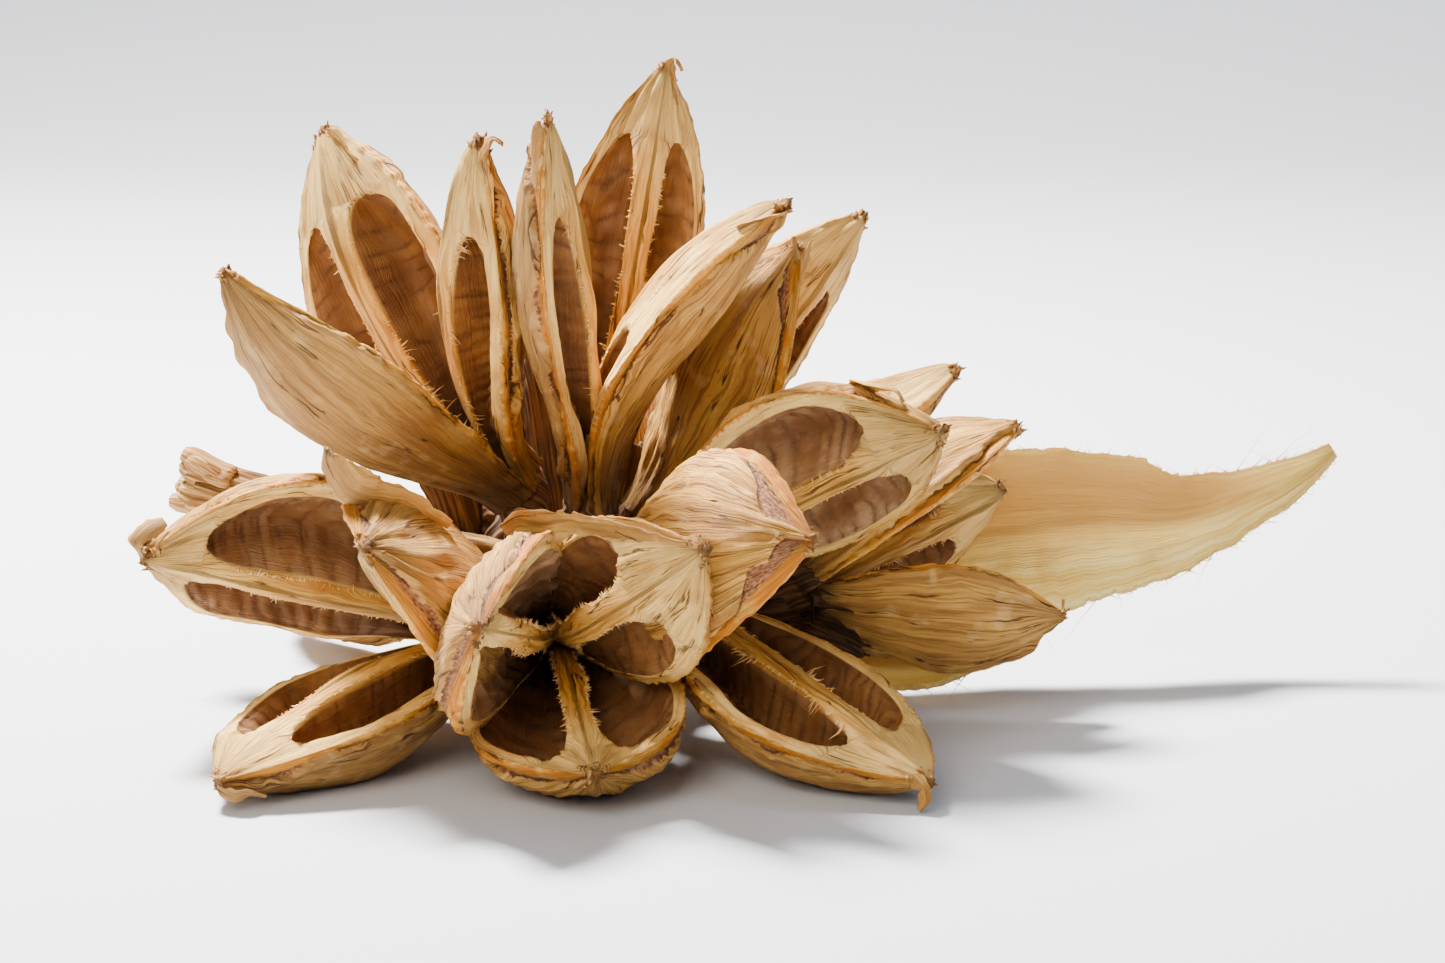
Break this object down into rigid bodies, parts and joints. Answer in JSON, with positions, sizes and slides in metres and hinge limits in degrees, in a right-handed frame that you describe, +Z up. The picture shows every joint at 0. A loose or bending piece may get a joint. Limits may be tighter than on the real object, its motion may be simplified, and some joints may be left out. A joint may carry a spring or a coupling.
{
  "type": "gymea lily seed head",
  "caption": "Dry, woody seed head of a giant lily: split three-valved capsules round a fibrous stem, with papery bracts, lying as picked.",
  "frame": {"origin": "on the surface that the head rests on, under the middle of its box", "axes": "+Z up from the surface, +X along the stem from its torn end towards the large bract, +Y from the front capsule towards the stem"},
  "size_m": [0.2832, 0.2184, 0.1531],
  "materials": {
    "valve_skin": "dry, fibrous and matte",
    "stem_bark": "rough and fibrous",
    "bract_paper": "dry and papery"
  },
  "bodies": {
    "root": {"stem": "stem_bark", "capsule_top_left": "valve_skin", "capsule_top": "valve_skin", "capsule_top_right": "valve_skin", "capsule_right": "valve_skin", "capsule_front": "valve_skin", "capsule_left": "valve_skin", "capsule_far_right": "valve_skin", "capsule_back_left": "valve_skin", "capsule_back_right": "valve_skin", "bract_large": "bract_paper", "bract_small": "bract_paper"}
  },
  "joints": []
}
